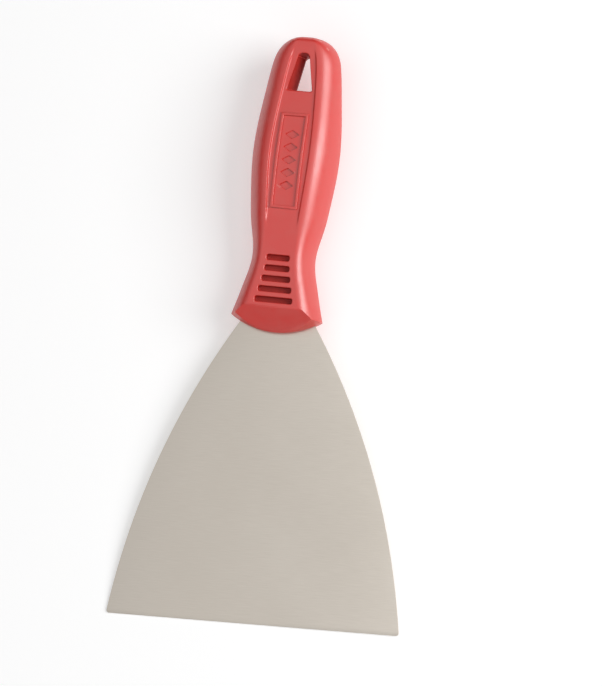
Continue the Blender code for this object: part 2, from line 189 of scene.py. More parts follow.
def upright(edge: bmesh.types.BMEdge) -> bool:
    """True for an edge that runs along Z."""
    way = (edge.verts[1].co - edge.verts[0].co).normalized()
    return abs(way.z) > 0.99


def settle(obj: Piece) -> None:
    """Moves an object's place, turn and size into its mesh."""
    take(obj)
    bpy.ops.object.transform_apply(location=True, rotation=True, scale=True)


def add_block(name: str, low: Sequence[float], high: Sequence[float]) -> Piece:
    """Box between two corners, from a cube at its size and place.

    Args:
        name: Name of the new object.
        low: Lowest corner.
        high: Highest corner.

    Returns:
        The box, with its place and size in its mesh.
    """
    centre = [(a + b) / 2.0 for a, b in zip(low, high)]
    size = [b - a for a, b in zip(low, high)]
    bpy.ops.mesh.primitive_cube_add(size=1.0, location=centre, scale=size)
    obj = fresh(name)
    settle(obj)
    return obj


def add_peg(place: Sequence[float], radius: float, low: float, high: float) -> Piece:
    """Upright round peg, from a cylinder at its size and place.

    Args:
        place: Its (x, y).
        radius: Its radius.
        low: Height of its lower end.
        high: Height of its upper end.

    Returns:
        The peg.
    """
    centre = (place[0], place[1], (low + high) / 2.0)
    bpy.ops.mesh.primitive_cylinder_add(vertices=48, radius=radius, depth=high - low, location=centre)
    peg = fresh("peg")
    settle(peg)
    return peg


def modify(obj: Piece, kind: str, **settings: object) -> None:
    """Adds a modifier with its settings and applies it.

    Args:
        obj: The object to modify.
        kind: Blender's modifier type.
        **settings: The modifier's properties.
    """
    modifier = obj.modifiers.new(kind.lower(), kind)
    for setting, value in settings.items():
        setattr(modifier, setting, value)
    take(obj)
    bpy.ops.object.modifier_apply(modifier=modifier.name)


def break_edges(obj: Piece, width: float, steps: int, over: float) -> None:
    """Rounds, in a number of steps, an object's edges that turn over an angle."""
    limit = {"limit_method": "ANGLE", "angle_limit": math.radians(over)}
    modify(obj, "BEVEL", width=width, segments=steps, **limit)


def combine(obj: Piece, operation: str, *others: Piece) -> None:
    """Cuts other shapes from obj or joins them to it, and removes them.

    Args:
        obj: The object that stays.
        operation: DIFFERENCE, UNION or INTERSECT.
        *others: The shapes that are used up.
    """
    for other in others:
        modify(obj, "BOOLEAN", object=other, operation=operation, solver="EXACT")
        bpy.data.objects.remove(other, do_unlink=True)


def duplicate(obj: Piece, name: str) -> Piece:
    """Copy of an object with its own mesh.

    Args:
        obj: The object to copy.
        name: The copy's name.

    Returns:
        The copy.
    """
    take(obj)
    bpy.ops.object.duplicate()
    return fresh(name)


def scale_at(y: float, across: float = 1.0, along: float = 1.0, up: float = 1.0) -> None:
    """Scales what is selected about the middle of the tool at y."""
    bpy.ops.transform.resize(value=(across, along, up), center_override=(0.0, y, 0.0))


def slice_at(point: Sequence[float], normal: Sequence[float], clear: bool = False) -> None:
    """Cuts the whole edited mesh with a plane.

    Args:
        point: A point on the plane.
        normal: The plane's direction.
        clear: Removes what is past the plane and fills the cut.
    """
    bpy.ops.mesh.select_all(action="SELECT")
    settings = {"use_fill": clear, "clear_outer": clear, "threshold": HAIR / 10.0}
    bpy.ops.mesh.bisect(plane_co=point, plane_no=normal, **settings)


def cut_rows(low: float, high: float, count: int, axis: int = 1) -> None:
    """Cuts the whole edited mesh into rows of one width.

    Args:
        low: Where the first row starts.
        high: Where the last one ends.
        count: Number of rows.
        axis: Number of the axis that they lie along.
    """
    normal = Vector([float(i == axis) for i in range(3)])
    for k in range(1, count):
        slice_at(normal * (low + (high - low) * k / count), normal)


def each_row(obj: Piece, axis: int = 1, wanted: Callable[[Part], bool] = lambda _: True) -> Iterator[float]:
    """Selects the points of the edited mesh row by row.

    Args:
        obj: The object in edit mode.
        axis: Number of the axis that the rows lie along.
        wanted: Says whether a point belongs to its row.

    Returns:
        The place of each row, while its points are selected.
    """
    bm = bmesh.from_edit_mesh(obj.data)
    for place in sorted({round(point.co[axis], ROW_DIGITS) for point in bm.verts if wanted(point)}):
        pick(obj, Picks.POINTS, lambda point: wanted(point) and round(point.co[axis], ROW_DIGITS) == place)
        yield place


def follow(obj: Piece, rise: Callable[[float], float]) -> None:
    """Raises each row of the edited mesh by what the surface under it does at the row's y."""
    for y in each_row(obj):
        bpy.ops.transform.translate(value=(0.0, 0.0, rise(y)))


def round_rim(cutter: Piece, y: float, size: Sequence[float], lip: float, steps: int = 5) -> None:
    """Extrudes a cutter's top outwards, so that it leaves a rounded rim.

    Args:
        cutter: The cutter in edit mode.
        y: Middle of the cutter.
        size: Width and length of its top.
        lip: Radius of the rim.
        steps: Number of rings round the rim.
    """
    pick(cutter, Picks.FACES, lambda face: face.normal.z > 0.9)
    wide, high = 0.0, 0.0
    for k in range(1, steps + 1):
        turn = math.pi / 2.0 * k / steps
        out, up = lip * (1.0 - math.cos(turn)), lip * math.sin(turn)
        bpy.ops.mesh.extrude_region_move(TRANSFORM_OT_translate={"value": (0.0, 0.0, up - high)})
        scale_at(y, *[(side + 2.0 * out) / (side + 2.0 * wide) for side in size])
        wide, high = out, up
    bpy.ops.mesh.extrude_region_move(TRANSFORM_OT_translate={"value": (0.0, 0.0, 4.0 * lip)})


# ---- Shapes that sizes draw ----


@dataclass(frozen=True)
class Profile:
    """Smooth curve through (place, value) stations, which never overshoots a station."""

    stations: tuple[tuple[float, float], ...]

    def at(self, place: float) -> float:
        """Value of the curve at a place.

        Args:
            place: Distance along the tool.

        Returns:
            The value, which carries on straight past the first and last stations.
        """
        places = [station[0] for station in self.stations]
        values = [station[1] for station in self.stations]
        slopes = self._slopes(places, values)
        if place <= places[0]:
            return values[0] + slopes[0] * (place - places[0])
        for i in range(len(places) - 1):
            if place <= places[i + 1]:
                step = places[i + 1] - places[i]
                s = (place - places[i]) / step
                bend = slopes[i] * step * s * (1.0 - s) ** 2 + slopes[i + 1] * step * s * s * (s - 1.0)
                return values[i] + (values[i + 1] - values[i]) * (3.0 - 2.0 * s) * s * s + bend
        return values[-1] + slopes[-1] * (place - places[-1])

    @staticmethod
    def _slopes(places: Sequence[float], values: Sequence[float]) -> list[float]:
        """Slope at each station: the harmonic mean of its two sides, or flat at a crest or a hollow.

        Args:
            places: Where the stations are.
            values: Their values.

        Returns:
            The slopes.
        """
        steps = zip(places, places[1:], values, values[1:])
        sides = [(after - before) / (end - start) for start, end, before, after in steps]
        inner = [2.0 * a * b / (a + b) if a * b > 0.0 else 0.0 for a, b in zip(sides, sides[1:])]
        return [sides[0], *inner, sides[-1]]


def fade(place: float, start: float, length: float) -> float:
    """0 before start, rising smoothly to 1 over a length."""
    s = min(1.0, max(0.0, (place - start) / length))
    return s * s * (3.0 - 2.0 * s)


def round_over(place: float, length: float, roundness: float) -> float:
    """Share of full size at a distance from an end that rounds over a length."""
    left = max(0.0, 1.0 - place / length)
    return (1.0 - left**roundness) ** (1.0 / roundness)


@dataclass(frozen=True)
class ToolAxes:
    """Where the tool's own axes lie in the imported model, read from its blade mount."""

    mount_name: str = "blade_front_face"
    mount_from_mouth: float = 0.0500

    def matrix(self, blade: "Blade") -> Matrix:
        """Turn and place that lay the tool down.

        Args:
            blade: The blade, whose skew and offset say where its mount is in the tool's axes.

        Returns:
            The matrix from the tool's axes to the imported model's.
        """
        mounts = {mount["name"]: mount for mount in frame["record"]["mounts"]}
        mount = mounts[self.mount_name]
        axis = mount["axis"]
        turn = Matrix.Rotation(math.atan2(-axis[1], axis[2]), 4, "X")
        local = blade.seat_matrix() @ Vector((0.0, -self.mount_from_mouth, blade.thickness / 2.0))
        return Matrix.Translation(Vector(mount["pos_m"]) - turn @ local) @ turn


def lay_down(obj: Piece, matrix: Matrix) -> None:
    """Lays a finished piece in its place, and leaves its object at the origin."""
    obj.matrix_world = matrix
    settle(obj)


# ---- Shader work ----


class Signal:
    """A value socket in a material, on which arithmetic adds Math nodes."""

    def __init__(self, recipe: "Recipe", socket: Socket) -> None:
        """Wraps a socket of the recipe's node tree."""
        self.recipe = recipe
        self.socket = socket

    def _math(self, operation: str, first: object, second: object) -> "Signal":
        """Math node with this operation on two values or signals."""
        out = self.recipe.node("ShaderNodeMath", {"operation": operation}, {0: first, 1: second})
        return Signal(self.recipe, out.outputs[0])

    def __add__(self, other: object) -> "Signal":
        """This plus other."""
        return self._math("ADD", self, other)

    def __radd__(self, other: object) -> "Signal":
        """Other plus this."""
        return self._math("ADD", other, self)

    def __sub__(self, other: object) -> "Signal":
        """This minus other."""
        return self._math("SUBTRACT", self, other)

    def __rsub__(self, other: object) -> "Signal":
        """Other minus this."""
        return self._math("SUBTRACT", other, self)

    def __mul__(self, other: object) -> "Signal":
        """This times other."""
        return self._math("MULTIPLY", self, other)

    def within(self, low: float, high: float) -> "Signal":
        """Smooth rise from 0 to 1.

        Args:
            low: Where the rise starts.
            high: Where it ends.

        Returns:
            The risen signal.
        """
        settings = {"interpolation_type": "SMOOTHSTEP"}
        inputs = {"Value": self, "From Min": low, "From Max": high}
        out = self.recipe.node("ShaderNodeMapRange", settings, inputs)
        return Signal(self.recipe, out.outputs["Result"])


class Recipe:
    """A material's node tree while it is being put together."""

    def __init__(self, name: str) -> None:
        """Starts an empty material.

        Args:
            name: The material's name.
        """
        self.material = bpy.data.materials.new(name)
        self.material.use_nodes = True
        self.tree = self.material.node_tree
        self.tree.nodes.clear()

    def node(
        self, kind: str, settings: dict[str, object], inputs: dict[str | int, object]
    ) -> bpy.types.Node:
        """Adds a node.

        Args:
            kind: The node's type.
            settings: Its own properties, set first.
            inputs: The value or link of each socket, by name or number.

        Returns:
            The node.
        """
        node = self.tree.nodes.new(kind)
        for setting, value in settings.items():
            setattr(node, setting, value)
        for key, value in inputs.items():
            socket = node.inputs[key]
            value = value.socket if isinstance(value, Signal) else value
            if isinstance(value, Socket):
                self.tree.links.new(value, socket)
            else:
                socket.default_value = value
        return node

    def place(self, matrix: Matrix, stretch: Sequence[float] = (1.0, 1.0, 1.0)) -> Socket:
        """Object coordinates turned back to the tool's own axes and stretched.

        Args:
            matrix: The tool's turn and place.
            stretch: How many times finer the pattern is along each axis.

        Returns:
            The vector socket.
        """
        where = self.node("ShaderNodeTexCoord", {}, {}).outputs["Object"]
        back = matrix.inverted()
        turn = {"Rotation": tuple(back.to_euler()), "Location": tuple(back.translation)}
        for inputs in (turn, {"Scale": tuple(stretch)}):
            mapping = self.node("ShaderNodeMapping", {"vector_type": "POINT"}, {"Vector": where, **inputs})
            where = mapping.outputs["Vector"]
        return where

    def noise(self, where: Socket, scale: float, detail: float = 3.0, rough: float = 0.5) -> Signal:
        """Noise at a scale in features per metre.

        Args:
            where: The coordinates.
            scale: Features per metre.
            detail: Number of finer layers.
            rough: Strength of the finer layers.

        Returns:
            The noise, around 0.5.
        """
        inputs = {"Vector": where, "Scale": scale, "Detail": detail, "Roughness": rough}
        out = self.node("ShaderNodeTexNoise", {"noise_dimensions": "3D"}, inputs)
        return Signal(self, out.outputs["Fac"])

    def blend(self, factor: Signal, first: object, second: object) -> Socket:
        """Colour from the first, where the factor is 0, to the second, where it is 1."""
        mix = self.node("ShaderNodeMix", {"data_type": "RGBA"}, {0: factor, 6: first, 7: second})
        return mix.outputs[2]

    def relief(self, height: Signal, depth: float, below: Socket | None = None) -> Socket:
        """Normal of a surface with a fine relief.

        Args:
            height: The relief, from 0 to 1.
            depth: Its depth in metres.
            below: A normal that this relief lies on.

        Returns:
            The normal socket.
        """
        inputs: dict[str | int, object] = {"Height": height, "Strength": 1.0, "Distance": depth}
        if below is not None:
            inputs["Normal"] = below
        return self.node("ShaderNodeBump", {}, inputs).outputs["Normal"]

    def finish(self, **sockets: object) -> bpy.types.Material:
        """Closes the recipe with its shader.

        Args:
            **sockets: Principled sockets, with underscores for the spaces in their names.

        Returns:
            The material.
        """
        inputs = {name.replace("_", " "): value for name, value in sockets.items()}
        shader = self.node("ShaderNodeBsdfPrincipled", {}, inputs)
        self.node("ShaderNodeOutputMaterial", {}, {"Surface": shader.outputs["BSDF"]})
        return self.material


@dataclass(frozen=True)
class MouldedPlastic:
    """Glossy red moulded plastic, a little uneven, with pale edges that are partly rub wear and partly
    painted highlight, painted shade in its creases, and a fine mould grain.

    Scales are in features per metre, and edges are given by how far a place stands out, from 0 to 1.
    """

    name: str
    body: Colour = (0.72, 0.022, 0.013, 1.0)
    bloom: Colour = (0.70, 0.036, 0.025, 1.0)
    # Pale colour on crests: partly rub wear, partly painted highlight.
    rubbed_and_highlight: Colour = (0.88, 0.34, 0.30, 1.0)
    # Dark colour in creases: painted shade.
    crease_shade: Colour = (0.30, 0.018, 0.014, 1.0)
    roughness: float = 0.38
    gloss: float = 1.0
    index: float = 1.62
    cloud_scale: float = 90.0
    cloud_share: float = 0.6
    cloud_range: tuple[float, float] = (0.35, 0.65)
    mottle_scale: float = 420.0
    mottle_gloss: float = 0.16
    grain_scale: float = 2600.0
    grain_gloss: float = 0.10
    grain_depth: float = 0.000012
    sink_scale: float = 55.0
    sink_depth: float = 0.00012
    crest_range: tuple[float, float] = (0.530, 0.600)
    wear_and_highlight: float = 0.50
    wear_and_highlight_range: tuple[float, float] = (0.25, 0.60)
    valley_range: tuple[float, float] = (0.430, 0.485)
    crease_shade_strength: float = 0.35

    def material(self, matrix: Matrix) -> bpy.types.Material:
        """Mixes the plastic.

        Args:
            matrix: The tool's turn and place.

        Returns:
            The material.
        """
        recipe = Recipe(self.name)
        where = recipe.place(matrix)
        cloud = recipe.noise(where, self.cloud_scale, 2.0)
        mottle = recipe.noise(where, self.mottle_scale)
        grain = recipe.noise(where, self.grain_scale, 2.0)
        sink = recipe.noise(where, self.sink_scale, 1.0)
        edge = Signal(recipe, recipe.node("ShaderNodeNewGeometry", {}, {}).outputs["Pointiness"])
        crest = edge.within(*self.crest_range)
        valley = 1.0 - edge.within(*self.valley_range)
        uneven = cloud * self.cloud_share + mottle * (1.0 - self.cloud_share)
        colour = recipe.blend(uneven.within(*self.cloud_range), self.body, self.bloom)
        # Crests paled in patches: partly rub wear, partly painted highlight.
        colour = recipe.blend(crest * mottle.within(*self.wear_and_highlight_range) * self.wear_and_highlight, colour, self.rubbed_and_highlight)
        # Creases darkened: painted shade.
        colour = recipe.blend(valley * self.crease_shade_strength, colour, self.crease_shade)
        rough = self.roughness + (mottle - 0.5) * self.mottle_gloss + (grain - 0.5) * self.grain_gloss
        normal = recipe.relief(grain, self.grain_depth, recipe.relief(sink, self.sink_depth))
        gloss = {"IOR": self.index, "Specular_IOR_Level": self.gloss}
        return recipe.finish(Base_Color=colour, Roughness=rough, Normal=normal, **gloss)


@dataclass(frozen=True)
class RecessPaintedShadePlastic(MouldedPlastic):
    """The same plastic on the walls of holes and slots, duller, and darker as painted shade inside them."""

    # Darker colours: painted shade inside holes and slots.
    body: Colour = (0.50, 0.020, 0.013, 1.0)
    bloom: Colour = (0.42, 0.024, 0.018, 1.0)
    rubbed_and_highlight: Colour = (0.40, 0.050, 0.045, 1.0)
    crease_shade: Colour = (0.12, 0.010, 0.009, 1.0)
    roughness: float = 0.60
    gloss: float = 0.30


@dataclass(frozen=True)
class SpringSteel:
    """Satin ground spring steel, with the grinding lines across the blade.

    Scales are in features per metre, and a stretch says how many times longer than wide a line is.
    """

    name: str
    bright: Colour = (0.80, 0.735, 0.655, 1.0)
    dull: Colour = (0.74, 0.675, 0.595, 1.0)
    roughness: float = 0.36
    line_scale: float = 160.0
    line_stretch: float = 28.0
    line_share: float = 0.6
    line_gloss: float = 0.18
    hair_scale: float = 520.0
    hair_stretch: float = 45.0
    hair_gloss: float = 0.10
    cloud_scale: float = 26.0
    cloud_gloss: float = 0.08
    tone_range: tuple[float, float] = (0.32, 0.68)
    depth: float = 0.000010

    def material(self, matrix: Matrix) -> bpy.types.Material:
        """Grinds the steel.

        Args:
            matrix: From the blade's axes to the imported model's.

        Returns:
            The material.
        """
        recipe = Recipe(self.name)
        across = recipe.place(matrix, (1.0, self.line_stretch, 1.0))
        lines = recipe.noise(across, self.line_scale, 4.0, 0.65)
        across = recipe.place(matrix, (1.0, self.hair_stretch, 1.0))
        hairs = recipe.noise(across, self.hair_scale, 3.0, 0.7)
        cloud = recipe.noise(recipe.place(matrix), self.cloud_scale)
        tone = (lines * self.line_share + cloud * (1.0 - self.line_share)).within(*self.tone_range)
        colour = recipe.blend(tone, self.dull, self.bright)
        rough = self.roughness + (lines - 0.5) * self.line_gloss + (hairs - 0.5) * self.hair_gloss
        rough = rough + (cloud - 0.5) * self.cloud_gloss
        normal = recipe.relief(lines * 0.5 + hairs * 0.5, self.depth)
        return recipe.finish(Base_Color=colour, Metallic=1.0, Roughness=rough, Normal=normal)


# ---- The blade ----


@dataclass
class Blade:
    """One sheet of spring steel: a flared blade with bowed sides, and the tang inside the handle."""

    length: float = 0.0981
    width: float = 0.1004
    thickness: float = 0.0006
    side_bow: float = 0.0058
    corner_radius: float = 0.0010
    skew: float = 1.9
    offset: float = 0.0006
    edge_thickness: float = 0.0003
    edge_grind: float = 0.0012
    neck_width: float = 0.0263
    neck_y: float = 0.0020
    tang_shoulder_y: float = 0.0125
    tang_width: float = 0.0120
    tang_length: float = 0.0380
    peg_radius: float = 0.0016
    peg_clearance: float = 0.0003
    tang_pegs: tuple[float, ...] = (0.0115, 0.0285)
    rows: int = 44
    edge_break: float = 0.00006
    edge_break_over: float = 50.0
    corner_steps: int = 8
    grind_steps: int = 4

    def seat_matrix(self) -> Matrix:
        """Place of the blade's axes in the tool's: a little askew and off centre."""
        turn = Matrix.Rotation(math.radians(self.skew), 4, "Z")
        return Matrix.Translation((self.offset, 0.0, 0.0)) @ turn

    def half_width(self, y: float) -> float:
        """Half the blade's width at y, on the side's arc.

        Args:
            y: Distance from the mouth, negative towards the edge.

        Returns:
            The half width.
        """
        low = Vector((self.width / 2.0, -self.length))
        chord = Vector((self.neck_width / 2.0, self.neck_y)) - low
        outwards = Vector((chord.y, -chord.x)).normalized()
        near, far = 0.0, 1.0
        for _ in range(40):
            s = (near + far) / 2.0
            point = low + chord * s + outwards * (4.0 * self.side_bow * s * (1.0 - s))
            near, far = (s, far) if point.y < y else (near, s)
        return point.x

    def build(self) -> Piece:
        """Models the sheet in its own axes.

        Returns:
            The blade.
        """
        blade = self._outline("blade_sheet")
        with editing(blade):
            self._round_corners(blade)
            self._grind(blade)
        through, room = 10.0 * self.thickness, self.peg_radius + self.peg_clearance
        for y in self.tang_pegs:
            combine(blade, "DIFFERENCE", add_peg((0.0, y), room, -through, through))
        break_edges(blade, self.edge_break, 2, self.edge_break_over)
        return blade

    def _outline(self, name: str) -> Piece:
        """Flat sheet with the bowed sides and the tang, square at the working edge.

        Args:
            name: Name of the new object.

        Returns:
            The sheet.
        """
        half, reach = self.thickness / 2.0, self.width / 2.0
        sheet = add_block(name, (-reach, -self.length, -half), (reach, self.neck_y, half))
        with editing(sheet):
            self._bow_sides(sheet)
            self._draw_tang(sheet)
        return sheet

    def peg_places(self) -> list[tuple[float, float]]:
        """Places of the pegs that pass through the tang, in the tool's axes."""
        return [tuple((self.seat_matrix() @ Vector((0.0, y, 0.0))).xy) for y in self.tang_pegs]

    def _bow_sides(self, blade: Piece) -> None:
        """Cuts the block in rows and narrows each row to the side's arc.

        Args:
            blade: The block in edit mode.
        """
        cut_rows(-self.length, self.neck_y, self.rows)
        for y in each_row(blade):
            scale_at(y, self.half_width(y) / (self.width / 2.0))

    def _draw_tang(self, blade: Piece) -> None:
        """Extrudes the neck to the tang's shoulder and on to its end.

        Args:
            blade: The blade in edit mode.
        """
        pick(blade, Picks.FACES, lambda face: face.normal.y > 0.9 and middle(face).y > self.neck_y - HAIR)
        for rise, width, before in (
            (self.tang_shoulder_y - self.neck_y, self.tang_width, self.neck_width),
            (self.tang_length - self.tang_shoulder_y, self.tang_width, self.tang_width),
        ):
            bpy.ops.mesh.extrude_region_move(TRANSFORM_OT_translate={"value": (0.0, rise, 0.0)})
            scale_at(0.0, width / before)

    def _round_corners(self, blade: Piece) -> None:
        """Rounds the two corners of the working edge.

        Args:
            blade: The blade in edit mode.
        """
        at_edge = -self.length + NEAR
        pick(blade, Picks.EDGES, lambda edge: upright(edge) and middle(edge).y < at_edge)
        bpy.ops.mesh.bevel(offset=self.corner_radius, segments=self.corner_steps, affect="EDGES")

    def _grind(self, blade: Piece) -> None:
        """Thins the last stretch to the working edge.

        Args:
            blade: The blade in edit mode.
        """
        start = self.edge_grind - self.length
        slice_at((0.0, start, 0.0), (0.0, 1.0, 0.0))
        cut_rows(start, -self.length, self.grind_steps)
        for y in each_row(blade, wanted=lambda point: point.co.y < start - HAIR):
            ground = (start - y) / self.edge_grind
            scale_at(y, up=1.0 + (self.edge_thickness / self.thickness - 1.0) * ground)

    def seat(self, clearance: float) -> Piece:
        """The blade grown by a clearance, which cuts the handle's seat for it.

        Args:
            clearance: Room on every side of the sheet.

        Returns:
            The cutter, in the tool's axes.
        """
        cutter = self._outline("seat")
        with editing(cutter):
            bpy.ops.mesh.select_all(action="SELECT")
            bpy.ops.transform.shrink_fatten(value=clearance, use_even_offset=True)
        lay_down(cutter, self.seat_matrix())
        return cutter

    def dress(self, blade: Piece, matrix: Matrix) -> None:
        """Lays the blade in place, with its finish and its body.

        Args:
            blade: The blade, in its own axes.
            matrix: The tool's turn and place.
        """
        whole = matrix @ self.seat_matrix()
        lay_down(blade, whole)
        blade.data.materials.append(SpringSteel("spring_steel_satin").material(whole))
        bpy.ops.object.shade_smooth_by_angle(angle=math.radians(SMOOTH_UNDER))
        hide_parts("blade")
        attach(blade, BODY)
        log.info("blade: %d faces", len(blade.data.polygons))


# ---- The handle ----


@dataclass
class Handle:
    """Two moulded halves. Every station is (distance from the hang end, size)."""

    length: float = 0.0990
    half_width: Profile = Profile((
        (0.0, 0.0101), (0.0155, 0.0127), (0.0394, 0.0149), (0.0610, 0.0131),
        (0.0744, 0.0107), (0.0865, 0.0133), (0.0949, 0.0157),
    ))
    height: Profile = Profile((
        (0.0, 0.0062), (0.0095, 0.0066), (0.0444, 0.0102), (0.0760, 0.0083), (0.0915, 0.0080),
    ))
    crest: Profile = Profile((
        (0.0, 0.0041), (0.0155, 0.0063), (0.0394, 0.0077), (0.0744, 0.0059), (0.0915, 0.0088),
    ))
    crown_length: float = 0.0095
    crown_drop: float = 0.0022
    crown_roundness: float = 2.6
    crown_rows: int = 8
    crown_start: float = 0.3
    crown_tuck: float = 0.9
    row_pitch: float = 0.0024
    overrun: float = 0.0040
    flank_shares: tuple[float, ...] = (0.22, 0.42, 0.60, 0.75, 0.87, 0.955, 1.0)
    flank_roundness: float = 1.65
    seam: float = 0.00016
    seat_clearance: float = 0.0001
    peg_depth: float = 0.0030
    peg_wall: float = 0.0018

    mouth_half_width: float = 0.0157
    mouth_corner: float = 0.0041
    mouth_dip: float = 0.0008
    bevel_from: float = 0.0075
    bevel_height: float = 0.0080
    lip_height: float = 0.0016
    lip_slope: float = 2.2
    lip_columns: int = 48
    bevel_ease: float = 0.0012
    bevel_ease_turns: tuple[float, ...] = (0.33, 0.67)

    panel_margin: float = 0.0008
    panel_wall: float = 0.0003
    panel_ease: float = 0.00018
    panel_depth: float = 0.0007
    panel_start: float = 0.0045
    panel_end: float = 0.0640
    panel_fade: float = 0.0040

    badge_start: float = 0.0268
    badge_end: float = 0.0590
    badge_half_width: float = 0.00465
    rim_width: float = 0.0009
    rim_height: float = 0.0007
    rim_break: float = 0.00018
    rim_break_over: float = 60.0
    stud_count: int = 5
    stud_first: float = 0.0341
    stud_pitch: float = 0.0043
    stud_size: tuple[float, float, float] = (0.0056, 0.0036, 0.0006)
    stud_taper: tuple[float, float] = (0.86, 0.78)

    hole_start: float = 0.0061
    hole_length: float = 0.0129
    hole_narrow: float = 0.0007
    hole_wide: float = 0.0061
    hole_flare: float = 0.24
    hole_corner: float = 0.0009
    hole_top_roundness: float = 0.75
    hole_lip: float = 0.0004
    hole_overrun: float = 0.0012
    corner_steps: int = 8

    slot_count: int = 5
    slot_first: float = 0.0094
    slot_pitch: float = 0.00353
    slot_width: float = 0.0019
    slot_depth: float = 0.0024
    slot_margin: float = 0.0020
    slot_corner: float = 0.0007
    slot_lip: float = 0.00035

    def face_height(self, place: float) -> float:
        """Height of the flat face at a distance from the hang end."""
        return self.height.at(place) * round_over(place, self.crown_drop, self.crown_roundness)

    def sunk(self, place: float) -> float:
        """Depth of the panel at a distance from the hang end."""
        in_from_mouth = fade(-place, -self.panel_end, self.panel_fade)
        return self.panel_depth * fade(place, self.panel_start, self.panel_fade) * in_from_mouth

    def section(self, place: float) -> list[tuple[float, float]]:
        """Right half of a section, from its middle over the crest and down the flank to below the seam.

        Args:
            place: Distance from the hang end.

        Returns:
            The (x, z) points.
        """
        crown = round_over(place, self.crown_length, self.crown_roundness)
        wide, crest = self.half_width.at(place) * crown, self.crest.at(place) * crown
        high = self.face_height(place)
        floor = high - self.sunk(place)
        wall = max(crest - self.panel_margin, crest * 0.8)
        foot = max(wall - self.panel_wall, wall * 0.8)
        ease = min(self.panel_ease, foot * 0.1)
        points = [(0.0, floor), (foot * 0.5, floor), (foot - 2.0 * ease, floor), (foot, floor)]
        points += [(wall, high), (wall + ease, high), (crest, high)]
        for share in self.flank_shares:
            drop = max(0.0, 1.0 - share**self.flank_roundness) ** (1.0 / self.flank_roundness)
            points.append((crest + (wide - crest) * share, high * drop))
        points.append((wide, -self.overrun / 2.0))
        return points

    def rows(self) -> list[float]:
        """Where the skin has its rows, closer together round the crown.

        Returns:
            Their distances from the hang end.
        """
        quarter = math.pi / 2.0
        turns = [quarter * (k + self.crown_start) / self.crown_rows for k in range(self.crown_rows)]
        crown = [self.crown_length * (1.0 - math.cos(turn)) for turn in turns]
        rest = self.length + self.overrun - self.crown_length
        count = round(rest / self.row_pitch)
        return crown + [self.crown_length + rest * k / count for k in range(count + 1)]

    def skin(self) -> Piece:
        """Smooth outer skin of one half, drawn row by row on one side and mirrored.

        Returns:
            The skin, which runs on below the seam all round.
        """
        rows = self.rows()
        columns = len(self.section(rows[0]))
        bpy.ops.mesh.primitive_grid_add(x_subdivisions=columns - 1, y_subdivisions=1, size=self.length)
        skin = fresh("skin")
        settle(skin)
        below = -self.overrun / 2.0
        crown = [(x * self.crown_tuck, below) for x, _ in self.section(rows[0])]
        mouth = [(x, below) for x, _ in self.section(rows[-1])]
        drawn = [(0.0, crown), *[(place, self.section(place)) for place in rows], (rows[-1], mouth)]
        with editing(skin):
            pick(skin, Picks.POINTS, lambda point: point.co.y > 0.0)
            self._draw_row(skin, *drawn[0])
            pick(skin, Picks.POINTS, lambda point: point.co.y < 0.0)
            self._draw_row(skin, *drawn[1])
            for place, points in drawn[2:]:
                bpy.ops.mesh.extrude_region_move()
                self._draw_row(skin, place, points)
        modify(skin, "MIRROR", use_axis=(True, False, False), merge_threshold=HAIR)
        modify(skin, "SUBSURF", levels=2, render_levels=2)
        return skin

    def _draw_row(self, skin: Piece, place: float, points: Sequence[tuple[float, float]]) -> None:
        """Moves each point of the selected row to its place, and leaves the row selected.

        Args:
            skin: The skin in edit mode.
            place: The row's distance from the hang end.
            points: The (x, z) of each of its points.
        """
        bm = bmesh.from_edit_mesh(skin.data)
        chosen = [point for point in bm.verts if point.select]
        row = [point.index for point in sorted(chosen, key=lambda point: (point.co.x, -point.co.z))]
        for number, (x, z) in zip(row, points):
            pick(skin, Picks.POINTS, lambda point: point.index == number)
            bm.verts.ensure_lookup_table()
            bpy.ops.transform.translate(value=Vector((x, self.length - place, z)) - bm.verts[number].co)
        pick(skin, Picks.POINTS, lambda point: point.index in row)

    def floor(self, y: float) -> float:
        """Height of the panel's floor at y."""
        place = self.length - y
        return self.face_height(place) - self.sunk(place)

    def half(self) -> Piece:
        """One half as both are before they differ: closed at the seam, bevelled, holed and slotted.

        Returns:
            The half, with its face up.
        """
        half = self.skin()
        half.name = "half"
        with editing(half):
            slice_at((0.0, 0.0, self.seam / 2.0), (0.0, 0.0, -1.0), clear=True)
            self._bevel_mouth()
        combine(half, "DIFFERENCE", self._mouth_arc(), self._mouth_lip(), self._hang_hole())
        combine(half, "DIFFERENCE", *[self._slot(number) for number in range(self.slot_count)])
        return half

    def _bevel_mouth(self) -> None:
        """Cuts the long bevel down to the lip, with its upper edge eased by two narrow cuts."""
        full = math.atan2(self.bevel_height - self.lip_height, self.bevel_from + self.mouth_dip)
        lip = Vector((0.0, -self.mouth_dip, self.lip_height))
        slice_at(lip, (0.0, -math.sin(full), math.cos(full)), clear=True)
        corner = Vector((0.0, self.bevel_from, self.bevel_height))
        for share in self.bevel_ease_turns:
            turn = full * share
            normal = Vector((0.0, -math.sin(turn), math.cos(turn)))
            half_turn = full / 2.0
            inwards = Vector((0.0, math.sin(half_turn), -math.cos(half_turn)))
            centre = corner + inwards * (self.bevel_ease / math.cos(half_turn))
            slice_at(centre + normal * self.bevel_ease, normal, clear=True)

    def _mouth_arc(self) -> Piece:
        """Block past the arc where the handle ends.

        Returns:
            The cutter.
        """
        radius, reach = self.mouth_radius, 2.0 * self.mouth_half_width
        block = add_block("mouth_block", (-reach, -reach, -reach), (reach, self.mouth_corner * 1.5, reach))
        centre = (0.0, radius - self.mouth_dip, 0.0)
        bpy.ops.mesh.primitive_cylinder_add(vertices=256, radius=radius, depth=3.0 * reach, location=centre)
        combine(block, "DIFFERENCE", fresh("mouth_round"))
        return block

    @property
    def mouth_radius(self) -> float:
        """Radius of the arc where the handle ends."""
        rise = self.mouth_corner + self.mouth_dip
        return (self.mouth_half_width**2 + rise**2) / (2.0 * rise)

